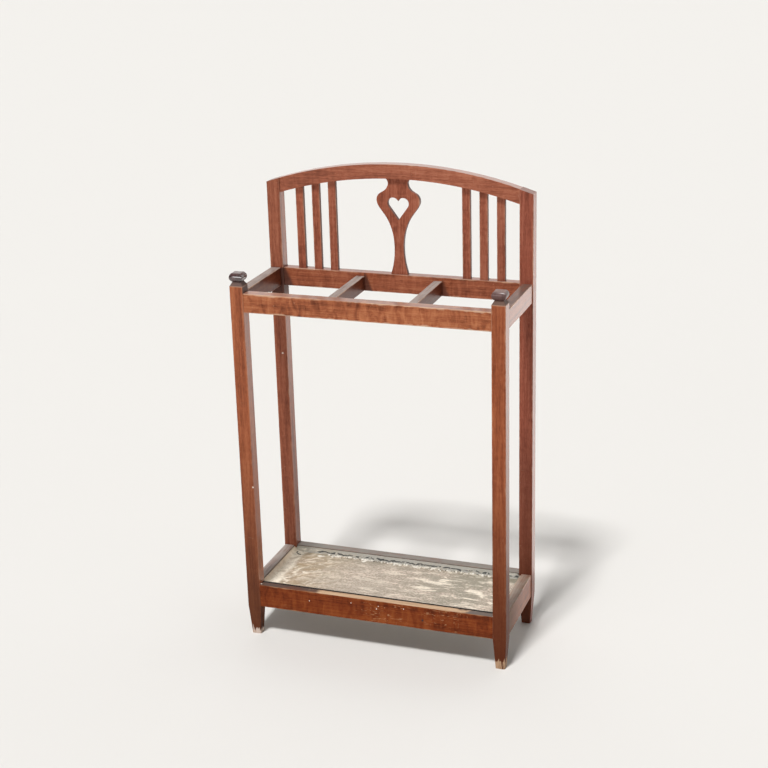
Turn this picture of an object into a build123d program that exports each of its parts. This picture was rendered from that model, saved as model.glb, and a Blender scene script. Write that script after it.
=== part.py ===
# Wooden umbrella stand with a heart-pierced splat, an arched crest and a lift-out zinc drip tray.
# Millimetres. +Z is up, the front faces -Y, +X is the viewer's right, the origin is on the floor at the centre.

import os
from math import asin, atan2, cos, degrees, hypot, sin, sqrt

from build123d import *

# Overall sizes
width = 540  # over the outer faces of the posts
depth = 222
crest_top = 938  # highest point of the arch

# Posts, feet and the chamfered tops of the front posts
post_width = 27  # along X
post_depth = 25  # along Y
foot_width = 18  # at the floor
foot_depth = 16
post_top_rise = 13.5  # straight post above the rack
neck_rise = 8  # chamfer above that, up to the finial
neck_width = 17
neck_depth = 15.5
arris = 1  # rounding of the long edges

# Finials and their dowels
finial_height = 17
finial_top_width = 18
finial_top_depth = 16.5
dowel_diameter = 8
dowel_in_finial = 10
dowel_in_post = 14

# Rails of the rack and of the base
rail_thickness = 20
rack_front_thickness = 23
rail_set = 1.5  # rails stand back from the outer faces of the posts
rack_top = 720.5
rack_height = 37
base_top = 112
base_height = 48

# Rack dividers
divider_offset = 80  # from the centre to a divider's middle
divider_width = 17
divider_height = 29
divider_drop = 7  # below the top of the rack

# Arched crest rail
crest_rise = 44.5  # over the full width
crest_depth = 28
crest_thickness = 21

# Back slats, three on each side
slat_width = 16.5
slat_thickness = 8
slat_margin = 38.3  # from a post to the middle of the outer slat
slat_pitch = 34.2

# Splat: outline as shares of its half width and of the height from the rack to the crest
splat_thickness = 9
splat_half_width = 44
splat_outline = [
    (0.398, 0),
    (0.266, 0.12),
    (0.212, 0.265),
    (0.273, 0.42),
    (0.511, 0.573),
    (0.786, 0.665),
    (1, 0.772),
    (0.916, 0.826),
    (0.614, 0.874),
    (0.46, 0.938),
    (0.66, 1.01),
]
splat_tenon_width = 22

# Heart cut-out: two round lobes with straight flanks, its top and tip as shares of the same height
heart_half_width = 21.5
heart_cleft = 7  # below the tops of the lobes
heart_top = 0.8
heart_tip = 0.567

# Joints
tenon_thickness = 8
tenon_shoulder = 6  # rail above and below its tenon
tenon_wall = 1.5  # wood left between two tenons in one post
side_tenon = 15
crest_tenon = 15
stub_tenon = 8  # dividers, slats and splat
joint_play = 0.15  # round a tenon
end_play = 0.4  # past its end

# Drip tray and what carries it
tray_gap = 1.5  # to the rails and posts
tray_flare = 6  # slope of the sides
tray_height = 11
tray_sheet = 1
tray_rim_drop = 1  # below the top of the base rails
ledger_depth = 18
ledger_height = 15
ledger_gap = 1
screw_diameter = 4
screw_length = 30
screw_head_diameter = 8
screw_head_height = 2.5
screw_slot = 1
screw_pitch = 170

# Places that follow from the sizes
post_x = (width - post_width) / 2
post_y = (depth - post_depth) / 2
inner_x = width / 2 - post_width  # shoulders of the long rails
inner_y = depth / 2 - post_depth  # shoulders of the side rails
back_y = depth / 2 - rail_set - rail_thickness / 2  # middle of the back rails, slats and crest
rack_front_y = -(depth / 2 - rail_set - rack_front_thickness / 2)
side_x = width / 2 - rail_set - rail_thickness / 2
well_x = width / 2 - rail_set - rail_thickness  # inner faces of the base rails
well_y = depth / 2 - rail_set - rail_thickness
rack_bottom = rack_top - rack_height
base_bottom = base_top - base_height
divider_top = rack_top - divider_drop
divider_bottom = divider_top - divider_height
post_top = rack_top + post_top_rise
neck_top = post_top + neck_rise
crest_under = crest_top - crest_depth
splat_rise = crest_under - rack_top
crest_radius = (width**2 / 4 + crest_rise**2) / (2 * crest_rise)
under_radius = crest_radius - crest_depth
crest_centre = crest_top - crest_radius
long_tenon = post_width - rail_set - (rail_thickness + tenon_thickness) / 2 - joint_play - end_play - tenon_wall
tray_bottom = base_top - tray_rim_drop - tray_height
ledger_z = tray_bottom - ledger_height / 2
rims = ((rack_bottom, rack_top), (base_bottom, base_top))  # heights of the two rings of rails


def block(x, y, z):
    """Box between two ends on each axis, in either order."""
    ends = (sorted(x), sorted(y), sorted(z))
    middle = [sum(pair) / 2 for pair in ends]
    return Pos(*middle) * Box(*(high - low for low, high in ends))


def around(middle, size):
    return (middle - size / 2, middle + size / 2)


def arch(radius, x):
    """Height of an arc of the crest at a distance from the centre."""
    return crest_centre + sqrt(radius**2 - x**2)


def arch_disc(radius, thickness):
    return Pos(0, back_y, crest_centre) * Rot(90, 0, 0) * Cylinder(radius, thickness)


def frustum(low_z, low, high_z, high):
    """Four-sided taper between two rounded rectangles."""
    ends = [Pos(0, 0, z) * RectangleRounded(*size, arris) for z, size in ((low_z, low), (high_z, high))]
    return loft(ends, ruled=True)


def long_rail_tenon(side, y, rim, play=0, end=0):
    """Tenon of a front or back rail, or with play its mortise."""
    low, high = rim
    return block(
        (side * inner_x, side * (inner_x + long_tenon + end)),
        around(y, tenon_thickness + 2 * play),
        (low + tenon_shoulder - play, high - tenon_shoulder + play),
    )


def side_rail_tenon(side, face, rim, play=0, end=0):
    low, high = rim
    return block(
        around(side * side_x, tenon_thickness + 2 * play),
        (face * inner_y, face * (inner_y + side_tenon + end)),
        (low + tenon_shoulder - play, high - tenon_shoulder + play),
    )


def crest_end_tenon(side, play=0, end=0):
    low = arch(under_radius, inner_x) + tenon_shoulder
    high = arch(crest_radius, inner_x + crest_tenon) - tenon_shoulder
    return block(
        (side * inner_x, side * (inner_x + crest_tenon + end)),
        around(back_y, tenon_thickness + 2 * play),
        (low - play, high + play),
    )


def divider_tenon(side, face, play=0, end=0):
    start = back_y - rail_thickness / 2 if face > 0 else rack_front_y + rack_front_thickness / 2
    return block(
        around(side * divider_offset, tenon_thickness + 2 * play),
        (start, start + face * (stub_tenon + end)),
        (divider_bottom + tenon_shoulder - play, divider_top - tenon_shoulder + play),
    )


def slat_span(x):
    """Heights of a slat's ends, let whole into the rack rail and the crest."""
    return rack_top - stub_tenon, arch(under_radius, x) + stub_tenon


def slat_housings(x, end=0):
    low, high = slat_span(x)
    return block(
        around(x, slat_width + 2 * joint_play),
        around(back_y, slat_thickness + 2 * joint_play),
        (low, high + end),
    )


def slat(x):
    low, high = slat_span(x)
    return Pos(x, back_y, low) * extrude(RectangleRounded(slat_width, slat_thickness, arris), high - low)


def splat_tenon(low, high, play=0):
    return block(
        around(0, splat_tenon_width + 2 * play),
        around(back_y, splat_thickness + 2 * play),
        (low, high),
    )


def splat_foot_tenon(play=0):
    return splat_tenon(rack_top - stub_tenon, rack_top, play)


def splat_head_tenon(play=0, end=0):
    return splat_tenon(crest_under - stub_tenon, crest_under + stub_tenon + end, play)


def dowel(side, play=0):
    middle = neck_top + (dowel_in_finial - dowel_in_post) / 2
    peg = Cylinder(dowel_diameter / 2 + play, dowel_in_finial + dowel_in_post)
    return Pos(side * post_x, -post_y, middle) * peg


def screw_places():
    return [(step * screw_pitch, face) for face in (-1, 1) for step in (-1, 0, 1)]


def screw_shank(x, face, play=0, end=0):
    """Shank of a ledger screw, from the seat of its head outwards into the base rail."""
    seat = well_y - ledger_depth + screw_head_height
    length = screw_length - screw_head_height + end
    middle = face * (seat + length / 2)
    return Pos(x, middle, ledger_z) * Rot(90, 0, 0) * Cylinder(screw_diameter / 2 + play, length)


def screw_head(x, face, play=0):
    middle = face * (well_y - ledger_depth + screw_head_height / 2)
    return Pos(x, middle, ledger_z) * Rot(90, 0, 0) * Cylinder(screw_head_diameter / 2 + play, screw_head_height)


slat_xs = {
    f"{name}_{row}_slat": side * (inner_x - slat_margin - step * slat_pitch)
    for name, side in (("left", -1), ("right", 1))
    for step, row in enumerate(("outer", "middle", "inner"))
}


def post(side, face):
    """A post with its foot and mortises. Front posts end in a chamfer, back posts along the crest."""
    top = post_top if face < 0 else crest_top
    shaft = Pos(0, 0, base_bottom) * extrude(RectangleRounded(post_width, post_depth, arris), top - base_bottom)
    shaft += frustum(0, (foot_width, foot_depth), base_bottom, (post_width, post_depth))
    if face < 0:
        shaft += frustum(post_top, (post_width, post_depth), neck_top, (neck_width, neck_depth))
    shaft = Pos(side * post_x, face * post_y, 0) * shaft
    if face < 0:
        shaft -= dowel(side, joint_play)
        long_ys = (rack_front_y, -back_y)
    else:
        shaft &= arch_disc(crest_radius, 2 * depth)
        shaft -= crest_end_tenon(side, joint_play, end_play)
        long_ys = (back_y, back_y)
    for rim, y in zip(rims, long_ys):
        shaft -= long_rail_tenon(side, y, rim, joint_play, end_play)
        shaft -= side_rail_tenon(side, face, rim, joint_play, end_play)
    return shaft


def finial(side):
    """Square cap with bulging sides, as wide as its post, on a dowel."""
    faces = []
    for neck, wide, top in (
        (neck_width, post_width, finial_top_width),
        (neck_depth, post_depth, finial_top_depth),
    ):
        right = ThreePointArc((neck / 2, 0), (wide / 2, finial_height / 2), (top / 2, finial_height))
        left = ThreePointArc((-top / 2, finial_height), (-wide / 2, finial_height / 2), (-neck / 2, 0))
        floor = Line((-neck / 2, 0), (neck / 2, 0))
        roof = Line((top / 2, finial_height), (-top / 2, finial_height))
        faces.append(make_face([floor, right, roof, left]))
    across = extrude(Plane.XZ * faces[0], post_depth, both=True)
    along = extrude(Plane.YZ * faces[1], post_width, both=True)
    return Pos(side * post_x, -post_y, neck_top) * (across & along) - dowel(side, joint_play)


def long_rail(y, thickness, rim):
    low, high = rim
    section = Plane.YZ * RectangleRounded(thickness, high - low, arris)
    rail = Pos(0, y, (low + high) / 2) * extrude(section, inner_x, both=True)
    return rail + [long_rail_tenon(side, y, rim) for side in (-1, 1)]


def side_rail(side, rim):
    low, high = rim
    section = Plane.XZ * RectangleRounded(rail_thickness, high - low, arris)
    rail = Pos(side * side_x, 0, (low + high) / 2) * extrude(section, inner_y, both=True)
    return rail + [side_rail_tenon(side, face, rim) for face in (-1, 1)]


def rack_rail(face):
    y, thickness = (back_y, rail_thickness) if face > 0 else (rack_front_y, rack_front_thickness)
    rail = long_rail(y, thickness, rims[0])
    rail -= [divider_tenon(side, face, joint_play, end_play) for side in (-1, 1)]
    if face > 0:
        rail -= [slat_housings(x) for x in slat_xs.values()] + [splat_foot_tenon(joint_play)]
    return rail


def base_rail(face):
    rail = long_rail(face * back_y, rail_thickness, rims[1])
    return rail - [screw_shank(x, side, joint_play, end_play) for x, side in screw_places() if side == face]


def divider(side):
    front = rack_front_y + rack_front_thickness / 2
    back = back_y - rail_thickness / 2
    section = Plane.XZ * RectangleRounded(divider_width, divider_height, arris)
    bar = extrude(section, (back - front) / 2, both=True)
    bar = Pos(side * divider_offset, (front + back) / 2, divider_top - divider_height / 2) * bar
    return bar + [divider_tenon(side, face) for face in (-1, 1)]


def crest():
    section = Rectangle(crest_thickness, crest_depth)
    section = fillet(section.vertices().group_by(Axis.Y)[-1], arris)  # only the upper edges are rounded
    section = Pos(0, back_y, crest_top - crest_depth / 2) * (Plane.YZ * section)
    pivot = Axis((0, back_y, crest_centre), (0, 1, 0))
    swing = degrees(asin(width / 2 / crest_radius))
    rail = revolve(section.rotate(pivot, -swing), pivot, 2 * swing)
    rail &= block((-inner_x, inner_x), (back_y - depth, back_y + depth), (rack_top, crest_top + crest_depth))
    rail += [crest_end_tenon(side) for side in (-1, 1)]
    rail -= [slat_housings(x, end_play) for x in slat_xs.values()]
    return rail - splat_head_tenon(joint_play, end_play)


def heart():
    radius = heart_half_width + heart_cleft - sqrt(2 * heart_half_width * heart_cleft)
    crown = rack_top + heart_top * splat_rise
    tip = rack_top + heart_tip * splat_rise
    centre = (heart_half_width - radius, crown - radius)
    reach = hypot(centre[0], centre[1] - tip)
    bearing = atan2(centre[1] - tip, centre[0]) - asin(radius / reach)
    length = sqrt(reach**2 - radius**2)
    touch = (length * cos(bearing), tip + length * sin(bearing))  # where the flank leaves the lobe
    lobe = ThreePointArc((0, crown - heart_cleft), (heart_half_width, centre[1]), touch)
    flank = Line(touch, (0, tip))
    return make_face([lobe, flank, mirror(lobe, Plane.YZ), mirror(flank, Plane.YZ)])


def splat():
    """Shaped board with the heart cut through it, shouldered against the rack rail and the crest."""
    right = Spline(*((out * splat_half_width, rack_top + up * splat_rise) for out, up in splat_outline))
    left = mirror(right, Plane.YZ)
    outline = make_face([Line(left @ 0, right @ 0), right, Line(right @ 1, left @ 1), left])
    board = Pos(0, back_y, 0) * extrude(Plane.XZ * (outline - heart()), splat_thickness / 2, both=True)
    return (board & arch_disc(under_radius, 2 * depth)) + splat_foot_tenon() + splat_head_tenon()


def pan(inset, low, high):
    """Four-sided taper inside the base rails, its sides flaring out as they rise to the rim."""
    slope = tray_flare / tray_height
    ends = []
    for z in (low, high):
        run = (tray_bottom + tray_height - z) * slope + tray_gap + inset
        ends.append(Pos(0, 0, z) * Rectangle(2 * (well_x - run), 2 * (well_y - run)))
    return loft(ends, ruled=True)


def drip_tray():
    """Sheet tray with sloping sides, its corners snipped to pass the posts."""
    rim = tray_bottom + tray_height
    tray = pan(0, tray_bottom, rim) - pan(tray_sheet, tray_bottom + tray_sheet, rim + tray_sheet)
    corner = Box(post_width + 2 * tray_gap, post_depth + 2 * tray_gap, 4 * tray_height)
    return tray - [Pos(x, y, rim) * corner for x in (-post_x, post_x) for y in (-post_y, post_y)]


def ledger(face):
    half = inner_x - ledger_gap
    strip = block((-half, half), (face * well_y, face * (well_y - ledger_depth)), around(ledger_z, ledger_height))
    for x, side in screw_places():
        if side == face:
            strip -= screw_shank(x, side, joint_play, end_play)
            strip -= screw_head(x, side, joint_play)
    return strip


def screw(x, face):
    slot_y = face * (well_y - ledger_depth + screw_slot / 2)
    slot = Pos(x, slot_y, ledger_z) * Box(screw_head_diameter, screw_slot, screw_slot)
    return screw_shank(x, face) + screw_head(x, face) - slot


sides = {"left": -1, "right": 1}
faces = {"front": -1, "back": 1}
parts = {
    "crest_rail": crest(),
    "heart_splat": splat(),
    "drip_tray": drip_tray(),
    "ledger_screws": Compound([screw(x, face).solid() for x, face in screw_places()]),
    "finial_dowels": Compound([dowel(side).solid() for side in (-1, 1)]),
}
for name, side in sides.items():
    parts[f"{name}_finial"] = finial(side)
    parts[f"rack_{name}_rail"] = side_rail(side, rims[0])
    parts[f"base_{name}_rail"] = side_rail(side, rims[1])
    parts[f"rack_divider_{name}"] = divider(side)
    for face_name, face in faces.items():
        parts[f"{face_name}_{name}_post"] = post(side, face)
for name, face in faces.items():
    parts[f"rack_{name}_rail"] = rack_rail(face)
    parts[f"base_{name}_rail"] = base_rail(face)
    parts[f"{name}_ledger"] = ledger(face)
for name, x in slat_xs.items():
    parts[name] = slat(x)

os.makedirs("parts", exist_ok=True)
for name, shape in parts.items():
    export_step(shape, f"parts/{name}.step")
print(len(parts), "nodes written")
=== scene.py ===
import math
import random

import bmesh
import bpy
from mathutils import Matrix, Vector, noise


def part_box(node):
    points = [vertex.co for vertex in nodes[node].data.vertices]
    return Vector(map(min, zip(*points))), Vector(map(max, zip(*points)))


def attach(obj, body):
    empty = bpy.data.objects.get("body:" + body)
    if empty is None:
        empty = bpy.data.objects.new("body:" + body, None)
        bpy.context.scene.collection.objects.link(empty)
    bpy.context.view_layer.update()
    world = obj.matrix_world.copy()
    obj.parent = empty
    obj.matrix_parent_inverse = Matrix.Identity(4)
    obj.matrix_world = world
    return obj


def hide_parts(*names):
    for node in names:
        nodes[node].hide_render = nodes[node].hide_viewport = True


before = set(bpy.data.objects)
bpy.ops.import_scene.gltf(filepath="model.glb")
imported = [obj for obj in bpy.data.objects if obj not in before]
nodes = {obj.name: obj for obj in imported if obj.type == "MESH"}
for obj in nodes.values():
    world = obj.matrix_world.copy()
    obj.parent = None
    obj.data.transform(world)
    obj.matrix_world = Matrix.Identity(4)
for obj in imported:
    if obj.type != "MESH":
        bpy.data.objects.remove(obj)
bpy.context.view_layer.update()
print("frame loaded:", len(nodes), "nodes")


# Shorthands for shader nodes

def feed(tree, socket, value):
    if isinstance(value, bpy.types.NodeSocket):
        tree.links.new(value, socket)
    else:
        socket.default_value = value


def addNode(tree, kind, inputs, **settings):
    node = tree.nodes.new(kind)
    for name, value in settings.items():
        setattr(node, name, value)
    for name, value in inputs.items():
        feed(tree, node.inputs[name], value)
    return node


def operate(tree, kind, operation, values):
    node = tree.nodes.new(kind)
    node.operation = operation
    for socket, value in zip(node.inputs, values):
        feed(tree, socket, value)
    return node.outputs[0]


def calc(tree, operation, *values):
    return operate(tree, "ShaderNodeMath", operation, values)


def vectorCalc(tree, operation, *values):
    return operate(tree, "ShaderNodeVectorMath", operation, values)


def times(tree, first, second):
    return calc(tree, "MULTIPLY", first, second)


def larger(tree, first, second):
    return calc(tree, "MAXIMUM", first, second)


def scaled(tree, value, share, base):
    return calc(tree, "MULTIPLY_ADD", value, share, base)


def swing(tree, pattern):
    return calc(tree, "SUBTRACT", pattern, 0.5)  # how far it is above or below its middle


def splitVector(tree, vector):
    return addNode(tree, "ShaderNodeSeparateXYZ", {"Vector": vector}).outputs


def facingOf(tree, output="Normal"):
    return splitVector(tree, addNode(tree, "ShaderNodeNewGeometry", {}).outputs[output])


def fade(tree, value, start, end, low=0.0, high=1.0):
    limits = {"Value": value, "From Min": start, "From Max": end, "To Min": low, "To Max": high}
    node = addNode(tree, "ShaderNodeMapRange", limits, interpolation_type="SMOOTHSTEP")
    return node.outputs["Result"]


def stepAt(tree, value, middle, blur, low=0.0, high=1.0):
    return fade(tree, value, middle - blur, middle + blur, low, high)


def mixColour(tree, share, first, second):
    node = tree.nodes.new("ShaderNodeMix")
    node.data_type = "RGBA"
    feed(tree, node.inputs[0], share)
    for socket, colour in ((node.inputs[6], first), (node.inputs[7], second)):
        feed(tree, socket, (*colour, 1) if isinstance(colour, tuple) else colour)
    return node.outputs[2]


def ramp(tree, value, *stops):
    node = addNode(tree, "ShaderNodeValToRGB", {"Fac": value})
    while len(node.color_ramp.elements) < len(stops):
        node.color_ramp.elements.new(1.0)
    for element, (position, colour) in zip(node.color_ramp.elements, stops):
        element.position = position
        element.color = (*colour, 1)
    return node.outputs["Color"]


def cloud(tree, vector, scale, detail=3.0, distortion=0.0):
    spread = vectorCalc(tree, "MULTIPLY", vector, scale if hasattr(scale, "__len__") else (scale,) * 3)
    settings = {"Vector": spread, "Scale": 1.0, "Detail": detail, "Distortion": distortion}
    return addNode(tree, "ShaderNodeTexNoise", settings).outputs["Fac"]


def turned(tree, vector, rotation, shift=(0, 0, 0)):
    settings = {"Vector": vector, "Rotation": rotation, "Location": shift}
    return addNode(tree, "ShaderNodeMapping", settings).outputs["Vector"]


def bumpFrom(tree, height, strength, distance):
    settings = {"Height": height, "Strength": strength, "Distance": distance}
    return addNode(tree, "ShaderNodeBump", settings).outputs["Normal"]


def newGroup(name, inputs, outputs):
    tree = bpy.data.node_groups.new(name, "ShaderNodeTree")
    for label, kind, value in inputs:
        tree.interface.new_socket(label, in_out="INPUT", socket_type=kind).default_value = value
    for label, kind in outputs:
        tree.interface.new_socket(label, in_out="OUTPUT", socket_type=kind)
    return tree, tree.nodes.new("NodeGroupInput").outputs, tree.nodes.new("NodeGroupOutput").inputs


def placeGroup(tree, group, **inputs):
    node = tree.nodes.new("ShaderNodeGroup")
    node.node_tree = group
    for name, value in inputs.items():
        feed(tree, node.inputs[name], value)
    return node.outputs


def newMaterial(name):
    material = bpy.data.materials.new(name)
    material.use_nodes = True
    tree = material.node_tree
    tree.nodes.clear()
    shader = tree.nodes.new("ShaderNodeBsdfPrincipled")
    output = tree.nodes.new("ShaderNodeOutputMaterial")
    tree.links.new(shader.outputs["BSDF"], output.inputs["Surface"])
    place = tree.nodes.new("ShaderNodeTexCoord").outputs["Object"]
    return material, tree, shader, place


def setFinish(tree, shader, sockets):
    for name, value in sockets.items():
        feed(tree, shader.inputs[name], value)


# Shorthands for pieces

edgeFinish = {"merge": 0.00002, "flatWithin": 0.5, "sharpFrom": 30, "steps": 2}  # angles in degrees


def softenEdges(piece, width):
    weld = piece.modifiers.new("weld", "WELD")
    weld.merge_threshold = edgeFinish["merge"]
    flat = piece.modifiers.new("flat", "DECIMATE")
    flat.decimate_type = "DISSOLVE"
    flat.angle_limit = math.radians(edgeFinish["flatWithin"])
    soft = piece.modifiers.new("softEdges", "BEVEL")
    soft.width = width
    soft.segments = edgeFinish["steps"]
    soft.limit_method = "ANGLE"
    soft.angle_limit = math.radians(edgeFinish["sharpFrom"])


def wear(piece, material):
    piece.data.materials.clear()
    piece.data.materials.append(material)


def addPiece(name, mesh):
    data = bpy.data.meshes.new(name)
    mesh.to_mesh(data)
    mesh.free()
    piece = bpy.data.objects.new(name, data)
    bpy.context.scene.collection.objects.link(piece)
    return piece


# Effects that several finishes share

floatSocket, vectorSocket = "NodeSocketFloat", "NodeSocketVector"
grainLayers = {  # scale along and across the fibres, detail, distortion, and share of the tone
    "bands": ((4, 70, 70), 3, 0.6, 0.42),  # growth bands, about 14 mm across
    "streaks": ((14, 330, 330), 3, 0.3, 0.38),
    "pores": ((110, 1300, 1300), 2, 0.0, 0.36),
    "mottle": ((75, 30, 30), 4, 1.0, None),  # patches across the grain, as strong as each wood's figure
}
poreDepth = 0.6  # in the height, beside the streaks


def makeGrain():
    inputs = [("Vector", vectorSocket, (0, 0, 0)), ("Figure", floatSocket, 0.3)]
    tree, given, result = newGroup("stainedGrain", inputs, [("Tone", floatSocket), ("Height", floatSocket)])
    layers = {}
    tone = 0.5
    for name, (scale, detail, distortion, share) in grainLayers.items():
        layers[name] = cloud(tree, given["Vector"], scale, detail, distortion)
        tone = scaled(tree, swing(tree, layers[name]), share or given["Figure"], tone)
    tree.links.new(tone, result["Tone"])
    tree.links.new(scaled(tree, layers["pores"], poreDepth, layers["streaks"]), result["Height"])
    return tree


# Pale arrises: rubbed wear, and partly painted highlight along the edges
arrisRubAndHighlight = {"ragged": 55, "patches": 14, "reach": (0.4, 2.2), "strength": 1.6}  # reach in arris widths


def makeArris():
    inputs = [
        ("Vector", vectorSocket, (0, 0, 0)),
        ("Half", vectorSocket, (0, 0, 0)),
        ("Width", floatSocket, 0.0015),
        ("WearAndHighlight", floatSocket, 0.5),
    ]
    tree, given, result = newGroup("rubbedAndHighlitArris", inputs, [("Mask", floatSocket)])
    inside = vectorCalc(tree, "SUBTRACT", given["Half"], vectorCalc(tree, "ABSOLUTE", given["Vector"]))
    depth = splitVector(tree, inside)
    pairs = [larger(tree, depth[a], depth[b]) for a, b in ((0, 1), (1, 2), (0, 2))]
    nearest = calc(tree, "MINIMUM", calc(tree, "MINIMUM", pairs[0], pairs[1]), pairs[2])
    ragged = cloud(tree, given["Vector"], arrisRubAndHighlight["ragged"], 4)
    reach = times(tree, given["Width"], fade(tree, ragged, 0.3, 0.75, *arrisRubAndHighlight["reach"]))
    line = calc(tree, "SUBTRACT", 1.0, calc(tree, "DIVIDE", nearest, reach))
    patchy = fade(tree, cloud(tree, given["Vector"], arrisRubAndHighlight["patches"], 3), 0.3, 0.62)
    mask = times(tree, larger(tree, line, 0.0), times(tree, patchy, given["WearAndHighlight"]))
    mask = times(tree, mask, arrisRubAndHighlight["strength"])
    tree.links.new(calc(tree, "MINIMUM", mask, 1.0), result["Mask"])
    return tree


dustLayers = {"stripes": (16, 260, 260), "patches": 45, "upward": (0.5, 0.95), "thinnest": 0.45}


def makeDust():
    inputs = [("Vector", vectorSocket, (0, 0, 0)), ("Amount", floatSocket, 0.5)]
    tree, given, result = newGroup("settledDust", inputs, [("Mask", floatSocket)])
    upward = fade(tree, facingOf(tree)["Z"], *dustLayers["upward"])
    stripes = cloud(tree, given["Vector"], dustLayers["stripes"], 4, 0.4)
    patches = cloud(tree, given["Vector"], dustLayers["patches"], 4)
    cover = scaled(tree, stripes, 0.6, times(tree, patches, 0.4))
    cover = fade(tree, cover, 0.3, 0.62, dustLayers["thinnest"], 1.0)
    tree.links.new(times(tree, times(tree, upward, cover), given["Amount"]), result["Mask"])
    return tree


scuffLayers = {
    "rubs": (60, 240, 240),
    "ticks": (650, 45, 45),  # across the grain
    "nicks": 190,
    "areas": 9,
}


def makeScuffs():
    inputs = [
        ("Vector", vectorSocket, (0, 0, 0)),
        ("Amount", floatSocket, 0.5),
        ("Density", floatSocket, 0.0),
    ]
    tree, given, result = newGroup("scuffs", inputs, [("Mask", floatSocket)])
    rubs = calc(tree, "ADD", cloud(tree, given["Vector"], scuffLayers["rubs"], 4, 1.5), given["Density"])
    rubs = fade(tree, rubs, 0.66, 0.8)
    ticks = fade(tree, cloud(tree, given["Vector"], scuffLayers["ticks"], 2, 0.6), 0.68, 0.78, 0.0, 0.8)
    nicks = fade(tree, cloud(tree, given["Vector"], scuffLayers["nicks"], 1), 0.74, 0.8)
    areas = fade(tree, cloud(tree, given["Vector"], scuffLayers["areas"], 2), 0.42, 0.62)
    marks = times(tree, larger(tree, larger(tree, rubs, ticks), nicks), areas)
    tree.links.new(times(tree, marks, given["Amount"]), result["Mask"])
    return tree


grainGroup = makeGrain()
arrisGroup = makeArris()
dustGroup = makeDust()
scuffGroup = makeScuffs()
print("shared effects made")


# Red-brown stained wood

stain = {
    "deep": (0.110, 0.024, 0.008),
    "middle": (0.275, 0.070, 0.024),
    "light": (0.430, 0.140, 0.052),
    "tint": (1, 1, 1),
    "rubbedAndHighlight": (0.520, 0.310, 0.200),
    "dust": (0.200, 0.160, 0.140),
    "dusty": 0.5,
    "paleEnd": None,  # lighter dust, and partly painted light, on top from this far to the right
    "bare": (0.560, 0.390, 0.260),
    "bareGrain": (0.380, 0.235, 0.140),
    "lowTone": (0.060, 0.017, 0.006),
    "dull": (0.110, 0.080, 0.066),
    "dullShare": 0.85,
    "roughness": 0.36,
    "roughSpread": 0.14,  # from dark grain to light grain
    "mattRough": 0.25,  # rougher by this much where the polish is gone
    "coat": 1.0,
    "mattCoat": 0.8,  # share of the polish that is lost there
    "coatRoughness": 0.24,
    "body": 1.15,  # refraction of the wood, low so that it shines at a slant and not head-on
    "gloss": 1.3,  # refraction of its polish
    "bump": (0.2, 0.0004),  # strength and depth of the grain
    "figure": 0.3,
    "arrisWidth": 0.0016,
    "arrisWearAndHighlight": 0.6,
    "scuffed": 0.35,
    "rubs": 0.0,  # more of them as this grows
    "lowDark": None,  # darker towards the floor: height where it ends, and its strength
    "sideDark": (0.5, 0.08),  # the same on the right-hand side
    "dullFrom": None,  # dull grey-brown from this height up, as on the chamfers below the caps
    "dullSide": None,  # and from this height on the side that faces the rack
    "chamferLine": (0.0004, 0.0016),  # rubbed, and partly painted highlight, where the chamfer starts: from full to none
    "chamferRubAndHighlight": 0.35,
    "frontMatt": 0.7,  # polish rubbed off the faces that point forwards
    "tonedSide": None,  # axis and sense of a side with a tone of its own
    "sideTone": (0.095, 0.070, 0.064),
    "sideToneShare": 0.9,
    "darkerFrom": None,  # darker from one depth to the next: depth where it starts, and where it is full
    "darkerTone": (0.012, 0.009, 0.008),
    "darkerShare": 0.95,
    "darkerTop": 0.95,  # share that lies on the top of a rail
    "corners": (),  # dirt and painted shadow in the rack's corners: left and right ends at its top, and its strength
    "cornerDirtAndShadow": (0.050, 0.024, 0.020),
    "bareTop": None,  # polish worn through along the top of a rail: start, end and rear edge
    "bareFoot": None,  # wood splintered bare at the foot of a post, up to this height
    "toneStops": {"deep": 0.30, "middle": 0.50, "light": 0.72},
    "splinters": (330, 330, 28),
    "ragged": (60, 90, 45),  # scale of the pattern that breaks up the edges of stains and worn places
}
edgeWander = {  # how far that pattern, or the splinters, move each edge
    "lowTone": 0.03,
    "dull": 0.004,
    "darker": 0.002,
    "corner": 0.006,
    "bareFoot": 0.05,
    "bareEnds": 0.08,
    "bareRear": 0.008,
    "bareSlope": 0.8,
}
edgeBlur = {"paleEnd": 0.004, "dull": 0.001, "bareFoot": 0.002, "bareEnds": 0.015, "bareRear": 0.001}
rackCornerDirtAndShadow = {  # shape of the dirt and painted shadow in the rack's corners
    "top": 0.7205,
    "topFade": (0.003, -0.002),
    "foot": (0.635, 0.675),
    "slant": 0.4,  # it widens by this much for each length down
    "sideFade": (-0.003, 0.005),
}
grainTurns = {"X": (0, 0, 0), "Y": (0, 0, -math.pi / 2), "Z": (0, math.pi / 2, 0)}
seedShift = (1.7, 0.61, 0.37)  # moves the grain from piece to piece
boardEdge = 0.0009  # rounding of the thinner boards, where the CAD has sharp edges


def wornSpan(tree, place, facing, ragged, start, end, rear):
    along = scaled(tree, ragged, edgeWander["bareEnds"], place["X"])
    span = times(tree, stepAt(tree, along, start, edgeBlur["bareEnds"]),
                 stepAt(tree, along, end, edgeBlur["bareEnds"], 1.0, 0.0))
    onTop = fade(tree, scaled(tree, ragged, edgeWander["bareSlope"], facing["Z"]), 0.4, 0.65)
    depth = scaled(tree, ragged, edgeWander["bareRear"], place["Y"])
    inFront = stepAt(tree, depth, rear, edgeBlur["bareRear"], 1.0, 0.0)
    return times(tree, span, times(tree, onTop, inFront))


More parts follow.
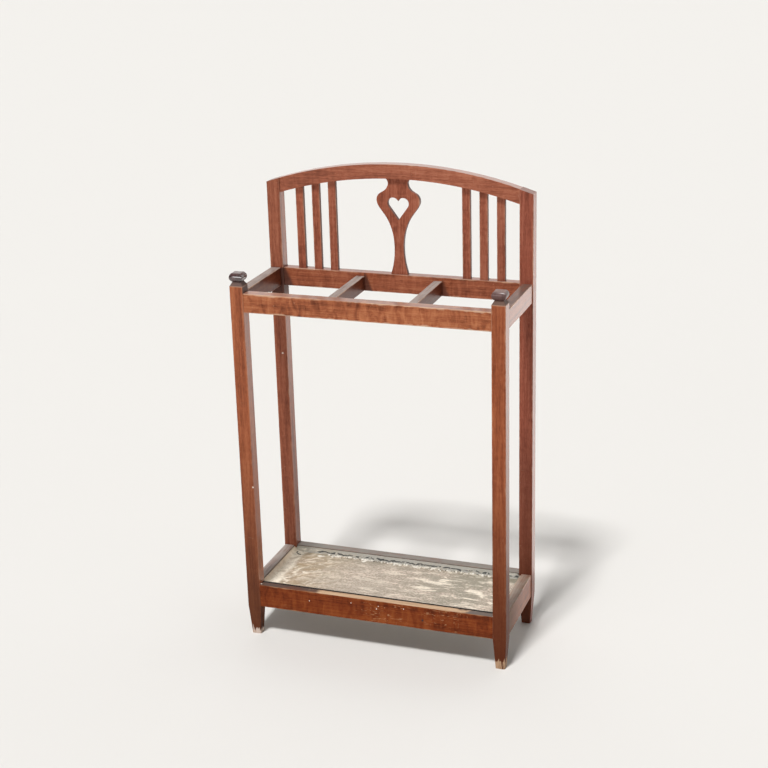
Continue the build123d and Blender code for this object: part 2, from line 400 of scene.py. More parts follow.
def cornerDirtAndShadowMask(tree, place, facing, ragged, left, right, most):
    top, slant = rackCornerDirtAndShadow["top"], rackCornerDirtAndShadow["slant"]
    slanted = scaled(tree, ragged, edgeWander["corner"], scaled(tree, place["Z"], slant, place["X"]))
    inner, outer = (right + slant * top + part for part in rackCornerDirtAndShadow["sideFade"])
    mask = fade(tree, slanted, inner, outer, most, 0.0)
    limits = (
        (place["X"], left - 0.001, left),
        (place["Z"], *rackCornerDirtAndShadow["foot"]),
        (place["Z"], *(top + part for part in rackCornerDirtAndShadow["topFade"])),
        (facing["Y"], 0.6, 0.2),
        (facing["Z"], 0.8, 0.5),
        (facing["X"], -0.8, -0.4),
    )
    for value, start, end in limits:
        mask = times(tree, mask, fade(tree, value, start, end))
    return mask


def stainWood(name, along, edge, seed, **changes):
    look = {**stain, **changes}
    low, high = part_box(name)
    centre, half = (low + high) / 2, (high - low) / 2
    material, tree, shader, coordinates = newMaterial(name + "Stain")
    centred = vectorCalc(tree, "SUBTRACT", coordinates, centre)
    fibres = turned(tree, centred, grainTurns[along], tuple(seed * part for part in seedShift))
    grain = placeGroup(tree, grainGroup, Vector=fibres, Figure=look["figure"])
    stops = [(at, tuple(part * share for part, share in zip(look[key], look["tint"])))
             for key, at in look["toneStops"].items()]
    colour = ramp(tree, grain["Tone"], *stops)

    limits = {"Half": half, "Width": look["arrisWidth"], "WearAndHighlight": look["arrisWearAndHighlight"]}
    arris = placeGroup(tree, arrisGroup, Vector=centred, **limits)
    scuffs = placeGroup(tree, scuffGroup, Vector=fibres, Amount=look["scuffed"], Density=look["rubs"])
    # rubbed wear, and on the arrises partly painted highlight
    colour = mixColour(tree, larger(tree, arris["Mask"], scuffs["Mask"]), colour, look["rubbedAndHighlight"])

    place = splitVector(tree, coordinates)
    facing = facingOf(tree)
    ragged = swing(tree, cloud(tree, coordinates, look["ragged"], 4))
    matt = fade(tree, facing["Y"], -0.5, -0.9, 0.0, look["frontMatt"])
    if look["lowDark"]:
        height = scaled(tree, ragged, edgeWander["lowTone"], place["Z"])
        shade, sideShade = (fade(tree, height, 0.0, top, most, 0.0)
                            for top, most in (look["lowDark"], look["sideDark"]))
        onSide = fade(tree, facing["X"], 0.4, 0.8)
        shade = scaled(tree, onSide, calc(tree, "SUBTRACT", sideShade, shade), shade)
        colour = mixColour(tree, shade, colour, look["lowTone"])
        matt = larger(tree, matt, shade)
    dust = placeGroup(tree, dustGroup, Vector=fibres, Amount=look["dusty"])
    colour = mixColour(tree, dust["Mask"], colour, look["dust"])
    matt = larger(tree, matt, dust["Mask"])
    if look["paleEnd"]:
        start, pale = look["paleEnd"]
        atEnd = times(tree, dust["Mask"], stepAt(tree, place["X"], start, edgeBlur["paleEnd"]))
        colour = mixColour(tree, atEnd, colour, pale)
    if look["dullFrom"]:
        height = scaled(tree, ragged, edgeWander["dull"], place["Z"])
        dull = stepAt(tree, height, look["dullFrom"], edgeBlur["dull"])
        if look["dullSide"]:
            inside = times(tree, stepAt(tree, place["Z"], look["dullSide"], edgeBlur["dull"]),
                           fade(tree, facing["X"], 0.5, 0.9))
            dull = larger(tree, dull, inside)
        colour = mixColour(tree, times(tree, dull, look["dullShare"]), colour, look["dull"])
        offLine = calc(tree, "ABSOLUTE", calc(tree, "SUBTRACT", place["Z"], look["dullFrom"]))
        paleLine = fade(tree, offLine, *look["chamferLine"], look["chamferRubAndHighlight"], 0.0)
        colour = mixColour(tree, paleLine, colour, look["rubbedAndHighlight"])
        matt = larger(tree, matt, dull)
    # a tone of its own on one side: on the slats and the splat it is painted shade
    if look["tonedSide"]:
        axis, sense = look["tonedSide"]
        inward = fade(tree, times(tree, facing[axis], sense), 0.3, 0.8, 0.0, look["sideToneShare"])
        colour = mixColour(tree, inward, colour, look["sideTone"])
    if look["bareTop"] or look["bareFoot"]:
        if look["bareTop"]:
            bare = wornSpan(tree, place, facing, ragged, *look["bareTop"])
            fissures = fade(tree, grain["Height"], 0.5, 1.1)
        else:
            splinters = cloud(tree, coordinates, look["splinters"], 4, 0.5)
            torn = scaled(tree, swing(tree, splinters), edgeWander["bareFoot"], place["Z"])
            bare = stepAt(tree, torn, look["bareFoot"], edgeBlur["bareFoot"], 1.0, 0.0)
            fissures = fade(tree, splinters, 0.46, 0.62)
        bareTone = mixColour(tree, fissures, look["bare"], look["bareGrain"])
        colour = mixColour(tree, bare, colour, bareTone)
        matt = larger(tree, matt, bare)
    if look["darkerFrom"]:
        darker = fade(tree, scaled(tree, ragged, edgeWander["darker"], place["Y"]), *look["darkerFrom"])
        darker = times(tree, darker, fade(tree, facing["Z"], 0.5, 0.9, look["darkerShare"], look["darkerTop"]))
        colour = mixColour(tree, darker, colour, look["darkerTone"])
        matt = larger(tree, matt, darker)
    # dirt, and a painted shadow that widens to the right as it goes down
    for corner in look["corners"]:
        dirtAndShadow = cornerDirtAndShadowMask(tree, place, facing, ragged, *corner)
        colour = mixColour(tree, dirtAndShadow, colour, look["cornerDirtAndShadow"])
        matt = larger(tree, matt, dirtAndShadow)

    spread = look["roughSpread"]
    roughness = scaled(tree, grain["Tone"], spread, look["roughness"] - spread / 2)
    setFinish(tree, shader, {
        "Base Color": colour,
        "Roughness": scaled(tree, matt, look["mattRough"], roughness),
        "Coat Weight": scaled(tree, matt, -look["mattCoat"] * look["coat"], look["coat"]),
        "Coat Roughness": look["coatRoughness"],
        "Coat IOR": look["gloss"],
        "IOR": look["body"],
        "Normal": bumpFrom(tree, grain["Height"], *look["bump"]),
    })
    wear(nodes[name], material)
    if edge:
        softenEdges(nodes[name], edge)


posts = {
    "front_left_post": {
        "tint": (1.03, 1.12, 1.32),
        "figure": 0.15,
        "arrisWearAndHighlight": 0.2,
        "lowDark": (0.5, 0.85),
        # painted shade on the inner side of the foot
        "sideDark": (0.13, 1.0),
        "bareFoot": 0.009,
        "bare": (0.52, 0.42, 0.36),
        "dull": (0.096, 0.079, 0.076),
        "dullFrom": 0.7338,
        "dullSide": 0.7205,
    },
    "front_right_post": {
        "tint": (0.90, 0.92, 1.04),
        "figure": 0.15,
        "arrisWearAndHighlight": 0.4,
        "lowDark": (0.5, 0.9),
        "sideDark": (0.72, 0.88),
        "bareFoot": 0.017,
        "bare": (0.40, 0.255, 0.155),
        "bareGrain": (0.12, 0.052, 0.028),
        "lowTone": (0.070, 0.014, 0.003),
        "frontMatt": 0.9,
        "dullFrom": 0.7338,
    },
    "back_left_post": {
        "tint": (0.90, 1.02, 1.5),
        "figure": 0.15,
        "lowDark": (0.3, 0.4),
        "arrisWearAndHighlight": 0.35,
        # dirt and painted shadow below the left rail
        "corners": [(-0.300, -0.240, 0.85)],
    },
    "back_right_post": {
        "tint": (0.88, 0.91, 1.5),
        "coat": 0.85,
        "figure": 0.15,
        "lowDark": (0.48, 0.75),
        "arrisWearAndHighlight": 0.35,
    },
}
longRails = {
    "rack_front_rail": {
        "tint": (1.02, 1.14, 1.32),
        "figure": 0.7,
        "dust": (0.40, 0.272, 0.215),
        "dusty": 0.45,
        # strong painted highlight, with wear, along the arrises
        "arrisWearAndHighlight": 1.0,
        "arrisWidth": 0.0022,
    },
    "rack_back_rail": {
        "tint": (0.98, 1.07, 1.42),
        "figure": 0.4,
        "dusty": 0.4,
        # dirt and painted shadow to the right of the left end and of each divider
        "corners": [(-0.300, -0.240, 0.8), (-0.0715, -0.0705, 0.75), (0.0885, 0.0870, 0.6)],
    },
    "base_front_rail": {
        # darker than the rails above: deeper stain, and partly painted shade low on the stand
        "tint": (0.56, 0.43, 0.275),
        "coat": 0.3,
        "figure": 0.55,
        "dust": (0.080, 0.055, 0.044),
        "dusty": 0.95,
        "bareTop": (-0.120, 0.186, -0.0945),
        "bare": (0.58, 0.395, 0.250),
        "scuffed": 0.8,
        "rubs": 0.07,
        "rubbedAndHighlight": (0.400, 0.205, 0.100),
        # paler dust, and partly painted light, at the right-hand end of the top
        "paleEnd": (0.190, (0.150, 0.122, 0.105)),
        "darkerFrom": (-0.0966, -0.0952),
    },
    "base_back_rail": {
        "tint": (0.6, 0.55, 0.6),
        "dusty": 0.95,
        "dust": (0.215, 0.203, 0.178),
        "tonedSide": ("Y", -1),
        "sideTone": (0.125, 0.112, 0.102),
    },
    "crest_rail": {"tint": (1.05, 1.24, 1.90), "figure": 0.2, "dusty": 0.6, "dust": (0.52, 0.42, 0.38)},
}
shaded = {"tint": (0.40, 0.38, 0.46), "coat": 0.2, "dusty": 0.95, "dust": (0.360, 0.300, 0.270)}
crossRails = {
    "rack_left_rail": shaded,
    "rack_right_rail": {
        "tint": (1.0, 0.95, 1.0),
        "figure": 0.2,
        "dusty": 0.9,
        "dust": (0.110, 0.088, 0.076),
        "darkerFrom": (-0.0790, -0.0835),
        "darkerTone": (0.045, 0.038, 0.034),
    },
    "rack_divider_left": shaded,
    "rack_divider_right": shaded,
    "base_left_rail": {
        "tint": (0.6, 0.6, 0.7),
        "dusty": 0.95,
        "dust": (0.410, 0.350, 0.310),
        "tonedSide": ("X", 1),
        "sideTone": (0.240, 0.200, 0.165),
    },
    "base_right_rail": {
        "tint": (1.05, 1.02, 0.80),
        "dusty": 0.9,
        "dust": (0.400, 0.335, 0.275),
        # darker towards the front end
        "darkerFrom": (0.055, -0.110),
        "darkerTone": (0.100, 0.055, 0.032),
        "darkerTop": 0.0,
    },
}
backBoards = {
    "tint": (0.98, 1.12, 1.80),
    "coat": 0.15,
    "figure": 0.25,
    "dusty": 0.0,
    # painted shade on the right-hand sides of the slats and the splat
    "tonedSide": ("X", 1),
    "sideTone": (0.110, 0.052, 0.042),
}
slatTones = {  # lighter or darker than the splat: painted light towards the left and painted shade towards the right
    "left_inner_slat": 1.0,
    "left_middle_slat": 1.05,
    "left_outer_slat": 1.15,
    "right_inner_slat": 1.0,
    "right_middle_slat": 0.97,
    "right_outer_slat": 0.92,
}


def dressWood():
    uprights = {name: {**backBoards, "tint": tuple(part * share for part in backBoards["tint"])}
                for name, share in slatTones.items()}
    uprights["heart_splat"] = backBoards
    runs = (
        ("Z", 0.0, posts),
        ("X", 0.0, longRails),
        ("Y", boardEdge, crossRails),
        ("Z", boardEdge, uprights),
    )
    seed = 0
    for along, edge, group in runs:
        for name, changes in group.items():
            seed += 1
            stainWood(name, along, edge, seed, **changes)


# Near-black polished caps on the front posts

caps = {
    "edge": 0.0006,
    "figure": 0.3,
    "dusty": 0.5,
    "body": 1.2,
    "roughness": 0.4,
    "roughSpread": 0.16,
    "patches": 120,
}
ebony = {
    "left": {
        "deep": (0.016, 0.006, 0.006),
        "light": (0.085, 0.032, 0.032),
        "dust": (0.190, 0.115, 0.100),
        "coat": 0.9,
        "coatRoughness": 0.06,
        "gloss": 2.0,
    },
    "right": {
        "deep": (0.035, 0.013, 0.011),
        "light": (0.150, 0.066, 0.057),
        "dust": (0.420, 0.310, 0.280),
        "coat": 0.5,
        "coatRoughness": 0.3,
        "gloss": 1.6,
    },
}


def dressFinials():
    for side, look in ebony.items():
        material, tree, shader, place = newMaterial(side + "EbonisedCap")
        fibres = turned(tree, place, grainTurns["Z"])
        grain = placeGroup(tree, grainGroup, Vector=fibres, Figure=caps["figure"])
        colour = ramp(tree, grain["Tone"], (0.3, look["deep"]), (0.75, look["light"]))
        dust = placeGroup(tree, dustGroup, Vector=fibres, Amount=caps["dusty"])
        patches = cloud(tree, place, caps["patches"], 3)
        setFinish(tree, shader, {
            "Base Color": mixColour(tree, dust["Mask"], colour, look["dust"]),
            "Roughness": scaled(tree, patches, caps["roughSpread"], caps["roughness"]),
            "Coat Weight": scaled(tree, dust["Mask"], -look["coat"], look["coat"]),
            "Coat Roughness": look["coatRoughness"],
            "Coat IOR": look["gloss"],
            "IOR": caps["body"],
        })
        piece = nodes[f"{side}_finial"]
        wear(piece, material)
        softenEdges(piece, caps["edge"])


# Unpolished softwood under the tray, and steel screws

pine = {
    "pieces": ("front_ledger", "back_ledger", "finial_dowels"),
    "deep": (0.26, 0.15, 0.075),
    "light": (0.50, 0.35, 0.20),
    "figure": 0.15,
    "roughness": 0.6,
    "roughSpread": 0.2,
}
screwSteel = {
    "deep": (0.22, 0.20, 0.18),
    "light": (0.50, 0.47, 0.44),
    "brushed": (900, 120, 900),
    "roughness": 0.3,
    "roughSpread": 0.3,
}


def dressHidden():
    material, tree, shader, place = newMaterial("plainPine")
    grain = placeGroup(tree, grainGroup, Vector=place, Figure=pine["figure"])
    setFinish(tree, shader, {
        "Base Color": ramp(tree, grain["Tone"], (0.3, pine["deep"]), (0.7, pine["light"])),
        "Roughness": scaled(tree, grain["Tone"], pine["roughSpread"], pine["roughness"]),
    })
    for name in pine["pieces"]:
        wear(nodes[name], material)
    material, tree, shader, place = newMaterial("dullScrewSteel")
    brushed = cloud(tree, place, screwSteel["brushed"], 3)
    setFinish(tree, shader, {
        "Base Color": ramp(tree, brushed, (0.3, screwSteel["deep"]), (0.7, screwSteel["light"])),
        "Roughness": scaled(tree, brushed, screwSteel["roughSpread"], screwSteel["roughness"]),
        "Metallic": 1.0,
    })
    wear(nodes["ledger_screws"], material)


dressWood()
dressFinials()
dressHidden()
print("wood and screws dressed")


# Zinc drip tray with a hemmed rim, dented floor and lime scale

tray = {
    "sheet": 0.001,
    "wall": 0.0008,  # thickness given to the dented sheet
    "flare": 0.00545,
    "rimDrop": 0.0002,
    "hemDepth": 0.0035,
    "hemGap": 0.0014,
    "step": 0.0025,
    "dent": 0.0009,
    "deepest": 0.0004,  # dents go no deeper
    "flatBorder": 0.02,  # and end this far from the walls
    "scale": 0.0008,  # height of the lime scale on the floor
    "scaleBorder": 0.004,
    "scaleCover": 0.15,
    "scaleLeft": 0.6,  # more of it for each length to the left
    "scaleGrit": (0.5, 0.7),  # share of the grit in it, and of the even part
    "layerRatio": 2.0,  # each layer of these is this much finer than the last
    "floorPatterns": {  # scale along and across, level, smoothness and layers
        "dent": ((9, 14), 0.0, 1.0, 2),
        "patch": ((22, 30), 1.5, 1.0, 4),
        "grit": ((160, 160), 4.0, 0.8, 2),
    },
    "cornerCut": (0.2395, 0.0880, 0.2470, 0.0820),  # line across a corner that clears the post
    "dirtLine": 0.1050,  # height of the dark line along the back wall
    "dirtFrom": (-0.205, -0.185),  # its left end
    "dirtWander": 0.008,
    "dirtSwell": 0.0009,
    "leftFoot": 0.2215,  # middle of the lime banked against the left wall
    "crustTop": 0.1070,  # height that it reaches up the wall
    "rightFrom": (-0.06, 0.14),  # more film and lime from here to the right
    "leftUpTo": (-0.20, -0.07),  # tan from the left as far as here
    "backFrom": (0.045, 0.078),  # greyer from here to the back wall
    "beige": (0.350, 0.270, 0.205),
    "cream": (0.620, 0.510, 0.420),
    "film": (0.250, 0.230, 0.170),
    "tan": (0.380, 0.255, 0.132),
    "lime": (0.830, 0.750, 0.620),
    "dirt": (0.020, 0.022, 0.022),
    "backTone": (0.310, 0.300, 0.265),
    # the left wall: lime, made paler as painted light
    "leftWallLimeAndLight": (0.900, 0.720, 0.520),
    "roughness": 0.5,
    "chalkRough": 0.35,  # rougher by this much on lime and dirt
    "metal": 0.15,
    "bump": (0.4, 0.001),
    "patterns": {  # scale, detail and distortion
        "broad": ((8, 15, 9), 4, 0.8),
        "smears": ((24, 84, 60), 6, 0.8),  # wiped along the tray
        "grit": ((230, 330, 300), 4),
        "specks": (260, 2),
        "hills": ((10, 34, 10), 2),
        "wander": ((70, 1, 1), 5),
        "gaps": ((120, 240, 90), 4),
        "swell": ((48, 1, 1), 3),
    },
    "dragTurn": (0, 0, -0.6),  # the next two are pulled in from the left
    "dragged": {"drags": ((36, 82, 60), 6, 1.3), "tanning": ((10, 45, 30), 5, 1.0)},
}


def trayLevels():
    low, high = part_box("drip_tray")
    inset = tray["sheet"] + tray["flare"]
    return high.x - inset, high.y - inset, low.z + tray["sheet"], high.z - tray["rimDrop"]


def floorRise(x, y, halfX, halfY):
    inset = min(halfX - abs(x), halfY - abs(y))
    dent, patch, grit = (
        noise.fractal(Vector((x * along, y * across, level)), smoothness, tray["layerRatio"], layers)
        for (along, across), level, smoothness, layers in tray["floorPatterns"].values()
    )
    gritty, even = tray["scaleGrit"]
    cover = max(0.0, patch + tray["scaleCover"] - x * tray["scaleLeft"])
    scale = cover * (even + gritty * grit) * tray["scale"]
    dentShare, scaleShare = (min(1.0, max(0.0, inset / tray[key])) for key in ("flatBorder", "scaleBorder"))
    return dentShare * max(dent * tray["dent"], -tray["deepest"]) + scaleShare * scale


def buildTray():
    floorX, floorY, floorZ, rimZ = trayLevels()
    mesh = bmesh.new()
    bmesh.ops.create_grid(
        mesh,
        x_segments=round(2 * floorX / tray["step"]),
        y_segments=round(2 * floorY / tray["step"]),
        size=1.0,
        matrix=Matrix.Diagonal((floorX, floorY, 1, 1)),
    )
    for vert in mesh.verts:
        vert.co.z = floorZ + floorRise(vert.co.x, vert.co.y, floorX, floorY)
    spans = [  # outward run and height of each fold after the floor
        (tray["flare"], rimZ - floorZ),
        (-tray["hemGap"], 0.0),
        (-tray["hemDepth"] * 0.5, -tray["hemDepth"]),
    ]
    edges = [edge for edge in mesh.edges if edge.is_boundary]
    level = floorZ
    run = 0.0
    for out, rise in spans:
        made = bmesh.ops.extrude_edge_only(mesh, edges=edges)["geom"]
        level += rise
        for vert in (part for part in made if isinstance(part, bmesh.types.BMVert)):
            atX, atY = abs(vert.co.x) > floorX + run - 0.0001, abs(vert.co.y) > floorY + run - 0.0001
            vert.co.x += math.copysign(out, vert.co.x) if atX else 0.0
            vert.co.y += math.copysign(out, vert.co.y) if atY else 0.0
            vert.co.z = level
        run += out
        edges = [part for part in made if isinstance(part, bmesh.types.BMEdge)]
    aX, aY, bX, bY = tray["cornerCut"]
    for sideX in (-1, 1):
        for sideY in (-1, 1):
            across = Vector((sideX * (aY - bY), sideY * (bX - aX), 0)).normalized()
            bmesh.ops.bisect_plane(
                mesh,
                geom=mesh.verts[:] + mesh.edges[:] + mesh.faces[:],
                plane_co=Vector((sideX * aX, sideY * aY, 0)),
                plane_no=across,
                clear_outer=True,
            )
    bmesh.ops.recalc_face_normals(mesh, faces=mesh.faces[:])
    middle = min(mesh.faces, key=lambda face: face.calc_center_median().length_squared)
    if middle.normal.z < 0:
        bmesh.ops.reverse_faces(mesh, faces=mesh.faces[:])
    for face in mesh.faces:
        face.smooth = True
    piece = addPiece("zinc_tray", mesh)
    thick = piece.modifiers.new("sheet", "SOLIDIFY")
    thick.thickness = tray["wall"]
    thick.offset = -1
    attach(piece, "tray")
    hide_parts("drip_tray")
    return piece


def zincFinish():
    material, tree, shader, coordinates = newMaterial("limedZinc")
    place = splitVector(tree, coordinates)
    facing = facingOf(tree, "True Normal")
    pattern = {name: cloud(tree, coordinates, *settings) for name, settings in tray["patterns"].items()}
    slanted = turned(tree, coordinates, tray["dragTurn"])
    pattern.update({name: cloud(tree, slanted, *settings) for name, settings in tray["dragged"].items()})
    broad, smears, grit, drags = (pattern[name] for name in ("broad", "smears", "grit", "drags"))
    rightward = fade(tree, place["X"], *tray["rightFrom"])
    leftward = fade(tree, place["X"], *tray["leftUpTo"], 1.0, 0.0)

    colour = mixColour(tree, fade(tree, grit, 0.3, 0.7), tray["beige"], tray["cream"])
    tan = times(tree, leftward, fade(tree, pattern["tanning"], 0.36, 0.58, 0.4, 0.95))
    colour = mixColour(tree, tan, colour, tray["tan"])
    film = scaled(tree, broad, 0.5, times(tree, smears, 0.5))
    film = scaled(tree, swing(tree, grit), 0.25, film)
    film = times(tree, fade(tree, film, 0.60, 0.42), scaled(tree, rightward, 0.45, 0.35))
    colour = mixColour(tree, film, colour, tray["film"])

    streaks = times(tree, fade(tree, smears, 0.50, 0.64), scaled(tree, rightward, 0.55, 0.4))
    streaks = larger(tree, streaks, times(tree, leftward, fade(tree, drags, 0.48, 0.70)))
    atFoot = calc(tree, "ADD", scaled(tree, broad, 0.02, place["X"]), tray["leftFoot"])
    atFoot = fade(tree, calc(tree, "ABSOLUTE", atFoot), 0.007, 0.018, 1.0, 0.0)
    banked = times(tree, atFoot, fade(tree, drags, 0.32, 0.52, 0.45, 1.0))
    specks = fade(tree, pattern["specks"], 0.66, 0.74)
    crust = larger(tree, larger(tree, streaks, banked), times(tree, specks, 0.6))
    reach = scaled(tree, swing(tree, pattern["hills"]), -0.010, place["Z"])
    onFloor = fade(tree, reach, tray["crustTop"], tray["crustTop"] + 0.0015, 1.0, 0.1)
    onFloor = larger(tree, onFloor, fade(tree, facing["X"], 0.35, 0.75))  # right up the left wall
    crust = times(tree, times(tree, crust, onFloor), fade(tree, grit, 0.25, 0.5, 0.45, 1.0))
    colour = mixColour(tree, crust, colour, tray["lime"])
    atBack = fade(tree, place["Y"], *tray["backFrom"], 0.0, 0.55)
    atBack = times(tree, atBack, fade(tree, drags, 0.58, 0.42, 0.35, 1.0))
    colour = mixColour(tree, atBack, colour, tray["film"])

    walls = (  # axis and sense that each faces, its tone, and the share of it
        ("Y", -1, tray["backTone"], 0.9),
        # lime and painted light on the left wall
        ("X", 1, tray["leftWallLimeAndLight"], 0.8),
        ("Y", 1, tray["backTone"], 0.6),
    )
    for axis, sense, tone, share in walls:
        steep = fade(tree, times(tree, facing[axis], sense), 0.35, 0.75, 0.0, share)
        clear = times(tree, steep, scaled(tree, crust, -0.9, 1.0))
        clear = times(tree, clear, fade(tree, drags, 0.36, 0.54, 0.55, 1.0))
        colour = mixColour(tree, clear, colour, tone)
    line = scaled(tree, swing(tree, pattern["wander"]), tray["dirtWander"], place["Z"])
    line = calc(tree, "ABSOLUTE", calc(tree, "SUBTRACT", line, tray["dirtLine"]))
    swell = fade(tree, pattern["swell"], 0.42, 0.64, 0.0, tray["dirtSwell"])
    line = calc(tree, "SUBTRACT", line, swell)
    broken = times(tree, fade(tree, pattern["gaps"], 0.41, 0.49), fade(tree, place["X"], *tray["dirtFrom"]))
    broken = times(tree, broken, fade(tree, facing["Y"], -0.3, -0.6))
    dirt = times(tree, fade(tree, line, 0.0005, 0.0014, 0.9, 0.0), broken)
    colour = mixColour(tree, dirt, colour, tray["dirt"])

    chalky = larger(tree, crust, dirt)
    height = scaled(tree, crust, 0.7, times(tree, grit, 0.5))
    setFinish(tree, shader, {
        "Base Color": colour,
        "Metallic": scaled(tree, crust, -tray["metal"], tray["metal"]),
        "Roughness": scaled(tree, chalky, tray["chalkRough"], tray["roughness"]),
        "Normal": bumpFrom(tree, height, *tray["bump"]),
    })
    return material


zincTray = buildTray()
wear(zincTray, zincFinish())
print("tray built:", len(zincTray.data.polygons), "faces")


# Crumbs of lime and dirt along the foot of the tray's back wall

crumbs = {
    "span": (-0.168, 0.185),
    "offWall": 0.0005,
    "scatter": 0.0035,
    "sunk": 0.3,  # height of the middle, in radii
    "stretch": ((0.8, 1.9), (0.7, 1.2), (0.5, 0.9)),
    "lime": {
        "count": 130,
        "size": (0.0008, 0.0026),
        "seed": 5,
        "colours": ((0.62, 0.56, 0.47), (0.86, 0.83, 0.76)),
    },
    "dirt": {
        "count": 60,
        "size": (0.0005, 0.0011),
        "seed": 8,
        "colours": ((0.01, 0.012, 0.012), (0.06, 0.058, 0.052)),
    },
    "lumps": [  # place and radius of the larger pieces of lime
        (-0.184, 0.0710, 0.0036),
        (-0.177, 0.073, 0.0020),
        (-0.086, 0.0710, 0.0030),
        (-0.146, 0.077, 0.0018),
    ],
    "lumpStretch": (1.6, 0.9, 0.5),
    "lumpBearing": 0.2,
    "curl": [  # dark curl in the left-hand corner
        (-0.2370, 0.0795),
        (-0.2385, 0.0765),
        (-0.2380, 0.0735),
        (-0.2360, 0.0705),
        (-0.2330, 0.0682),
        (-0.2295, 0.0668),
        (-0.2260, 0.0662),
    ],
    "curlRadius": 0.0010,
    "curlStretch": (2.4, 1.0, 0.8),
    "curlLift": 0.0006,
}
speckLook = {
    "roundFrom": 0.0018,  # a finer ball from this radius up
    "mottle": 420,
    "grain": 900,
    "roughness": (0.7, 0.95),
}


def speckPiece(name, specks, body, colours):
    mesh = bmesh.new()
    for spot, radius, stretch, bearing in specks:
        shape = Matrix.Translation(spot) @ Matrix.Rotation(bearing, 4, "Z") @ Matrix.Diagonal((*stretch, 1))
        steps = 1 if radius < speckLook["roundFrom"] else 2
        bmesh.ops.create_icosphere(mesh, subdivisions=steps, radius=radius, matrix=shape)
    piece = addPiece(name, mesh)
    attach(piece, body)
    material, tree, shader, coordinates = newMaterial(name + "Tone")
    low, high = colours
    mottle = cloud(tree, coordinates, speckLook["mottle"], 2)
    grain = cloud(tree, coordinates, speckLook["grain"], 1)
    setFinish(tree, shader, {
        "Base Color": ramp(tree, mottle, (0.35, low), (0.65, high)),
        "Roughness": fade(tree, grain, 0.3, 0.7, *speckLook["roughness"]),
    })
    wear(piece, material)


def layCrumbs():
    floorX, floorY, floorZ = trayLevels()[:3]

    def onFloor(x, y, lift=0.0):
        return floorZ + floorRise(x, y, floorX, floorY) + lift

    for kind in ("lime", "dirt"):
        settings = crumbs[kind]
        chance = random.Random(settings["seed"])
        specks = []
        for _ in range(settings["count"]):
            radius = chance.uniform(*settings["size"])
            x = chance.uniform(*crumbs["span"])
            y = floorY - crumbs["offWall"] - abs(chance.gauss(0, crumbs["scatter"]))
            stretch = tuple(chance.uniform(*limits) for limits in crumbs["stretch"])
            spot = (x, y, onFloor(x, y, radius * crumbs["sunk"]))
            specks.append((spot, radius, stretch, chance.uniform(0, math.pi)))
        if kind == "lime":
            for x, y, radius in crumbs["lumps"]:
                specks.append(((x, y, onFloor(x, y)), radius, crumbs["lumpStretch"], crumbs["lumpBearing"]))
        else:
            for (x, y), (nextX, nextY) in zip(crumbs["curl"], crumbs["curl"][1:]):
                middle = ((x + nextX) / 2, (y + nextY) / 2, onFloor(x, y, crumbs["curlLift"]))
                bearing = math.atan2(nextY - y, nextX - x)
                specks.append((middle, crumbs["curlRadius"], crumbs["curlStretch"], bearing))
        speckPiece(kind + "_crumbs", specks, "tray", settings["colours"])


# Splashes of pale paint, and a nail hole in the base

flecks = {
    "paint": {
        "colours": ((0.62, 0.50, 0.40), (0.84, 0.78, 0.70)),
        "radius": 0.0012,
        "onFront": [
            (-0.136, 0.0919),
            (-0.0472, 0.1000),
            (0.0060, 0.0945),
            (0.0625, 0.1022),
            (0.0100, 0.1005),
        ],
        "elsewhere": [
            ((-0.2430, -0.1040, 0.1119), 0.0022, (1.6, 0.8, 0.3)),
            ((-0.1990, -0.0872, 0.7203), 0.0019, (1.5, 0.7, 0.4)),
            ((-0.2532, 0.0859, 0.5403), 0.0019, (1.0, 0.2, 1.1)),
            ((-0.2446, -0.1109, 0.3253), 0.0018, (0.9, 0.17, 1.2)),
            ((0.2440, -0.1070, 0.1117), 0.0018, (1.8, 0.8, 0.3)),
        ],
    },
    "nail": {
        "colours": ((0.008, 0.004, 0.003), (0.030, 0.014, 0.010)),
        "radius": 0.0023,
        "onFront": [(0.1010, 0.0833)],
        "elsewhere": [],
    },
}
frontStretch = (1.0, 0.25, 1.0)  # flat on the front of the base rail


def layFlecks():
    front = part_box("base_front_rail")[0].y
    for kind, settings in flecks.items():
        specks = [((x, front, z), settings["radius"], frontStretch, 0.0) for x, z in settings["onFront"]]
        specks += [(*speck, 0.0) for speck in settings["elsewhere"]]
        speckPiece(kind + "_flecks", specks, "stand", settings["colours"])


layCrumbs()
layFlecks()
print("crumbs and flecks laid")


# Floor, light and camera

studio = {
    "floorSize": 80.0,
    "floorColour": (0.72, 0.705, 0.68),
    "floorRoughness": 0.9,
    "worldColour": (1.0, 0.99, 0.97),
    "worldStrength": 0.17,
    "backGlow": 1.15,  # added towards the back, up to a height
    "glowFrom": (0.1, 0.7),
    "glowBelow": (0.5, 0.9),
    "backdrop": 0.87,  # what the camera sees past the floor, as bright as the floor itself
    "lampDistance": 3,  # of the far lights; only their direction counts
}
farLights = {  # each with the way it comes from, and how wide it looks
    "keyLight": {"from": (-0.06, -0.50, 1.0), "spread": 9.0, "strength": 2.9},
    "frontFill": {"from": (-0.26, -0.96, 0.09), "spread": 45.0, "strength": 1.12},
    "rightFill": {"from": (0.95, -0.28, 0.14), "spread": 45.0, "strength": 0.4},
}
panels = {  # soft boxes, each with its width and height
    "frontStrip": {
        "place": (-1.15, -3.1, 1.5),
        "aim": (0, 0, 0.75),
        "size": (1.9, 0.32),
        "power": 17,
        "colour": (1, 1, 1),
        "shineOnly": True,
    },
    "floorCard": {
        "place": (0.95, 2.5, 0.01),
        "aim": (0.95, 2.5, 1),
        "size": (1.3, 4.4),
        "power": 17,
        "colour": (1.0, 0.93, 0.88),
        "shineOnly": False,
    },
}
photoView = {
    "place": (0.9881, -2.7423, 1.5424),
    "aim": (-0.0046, 0.0, 0.5251),
    "roll": -1.604,
    "lens": 74.62,
    "sensor": 36.0,
}


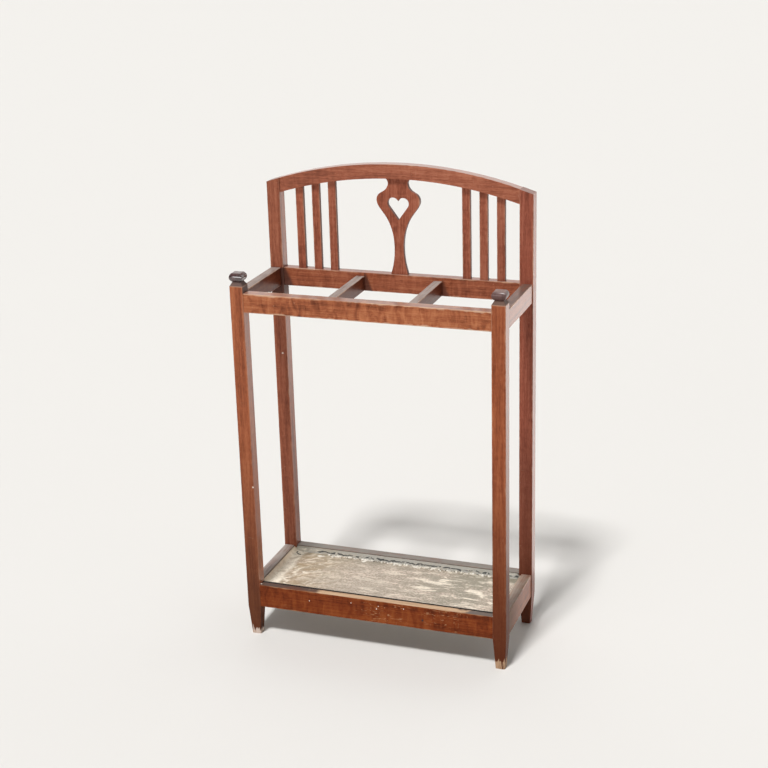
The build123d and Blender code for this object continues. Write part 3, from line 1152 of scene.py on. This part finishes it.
def setStage():
    mesh = bmesh.new()
    bmesh.ops.create_grid(mesh, x_segments=8, y_segments=8, size=studio["floorSize"] / 2)
    floor = addPiece("floor", mesh)
    material, tree, shader, _ = newMaterial("paleFloor")
    setFinish(tree, shader, {
        "Base Color": (*studio["floorColour"], 1),
        "Roughness": studio["floorRoughness"],
        "Specular IOR Level": 0.0,
    })
    wear(floor, material)
    world = bpy.data.worlds.new("studioWorld")
    world.use_nodes = True
    tree = world.node_tree
    towards = splitVector(tree, tree.nodes.new("ShaderNodeTexCoord").outputs["Generated"])
    behind = times(tree, fade(tree, towards["Y"], *studio["glowFrom"]),
                   fade(tree, towards["Z"], *studio["glowBelow"], 1.0, 0.0))
    glow = scaled(tree, behind, studio["backGlow"], studio["worldStrength"])
    seen = tree.nodes.new("ShaderNodeLightPath").outputs["Is Camera Ray"]
    backdrop = times(tree, seen, calc(tree, "SUBTRACT", studio["backdrop"], glow))
    setFinish(tree, tree.nodes["Background"], {
        "Color": (*studio["worldColour"], 1),
        "Strength": calc(tree, "ADD", glow, backdrop),
    })
    bpy.context.scene.world = world
    bpy.context.scene.view_settings.view_transform = "Standard"


def lookAt(thing, place, aim, roll=0.0):
    turn = (Vector(aim) - Vector(place)).to_track_quat("-Z", "Y").to_matrix().to_4x4()
    thing.matrix_world = Matrix.Translation(place) @ turn @ Matrix.Rotation(math.radians(roll), 4, "Z")


def addLamp(name, kind, place, aim, power):
    data = bpy.data.lights.new(name, kind)
    data.energy = power
    lamp = bpy.data.objects.new(name, data)
    bpy.context.scene.collection.objects.link(lamp)
    lookAt(lamp, place, aim)
    lamp.visible_camera = False
    return lamp


def setLights():
    for name, settings in farLights.items():
        place = Vector(settings["from"]) * studio["lampDistance"]
        far = addLamp(name, "SUN", place, (0, 0, 0), settings["strength"])
        far.data.angle = math.radians(settings["spread"])
    for name, settings in panels.items():
        panel = addLamp(name, "AREA", settings["place"], settings["aim"], settings["power"])
        panel.data.shape = "RECTANGLE"
        panel.data.size, panel.data.size_y = settings["size"]
        panel.data.color = settings["colour"]
        panel.visible_diffuse = not settings["shineOnly"]


def setCamera():
    data = bpy.data.cameras.new("photoCamera")
    data.sensor_width = photoView["sensor"]
    data.lens = photoView["lens"]
    camera = bpy.data.objects.new("photoCamera", data)
    bpy.context.scene.collection.objects.link(camera)
    lookAt(camera, photoView["place"], photoView["aim"], photoView["roll"])
    bpy.context.scene.camera = camera


setStage()
setLights()
setCamera()
print("stage, lights and camera set")
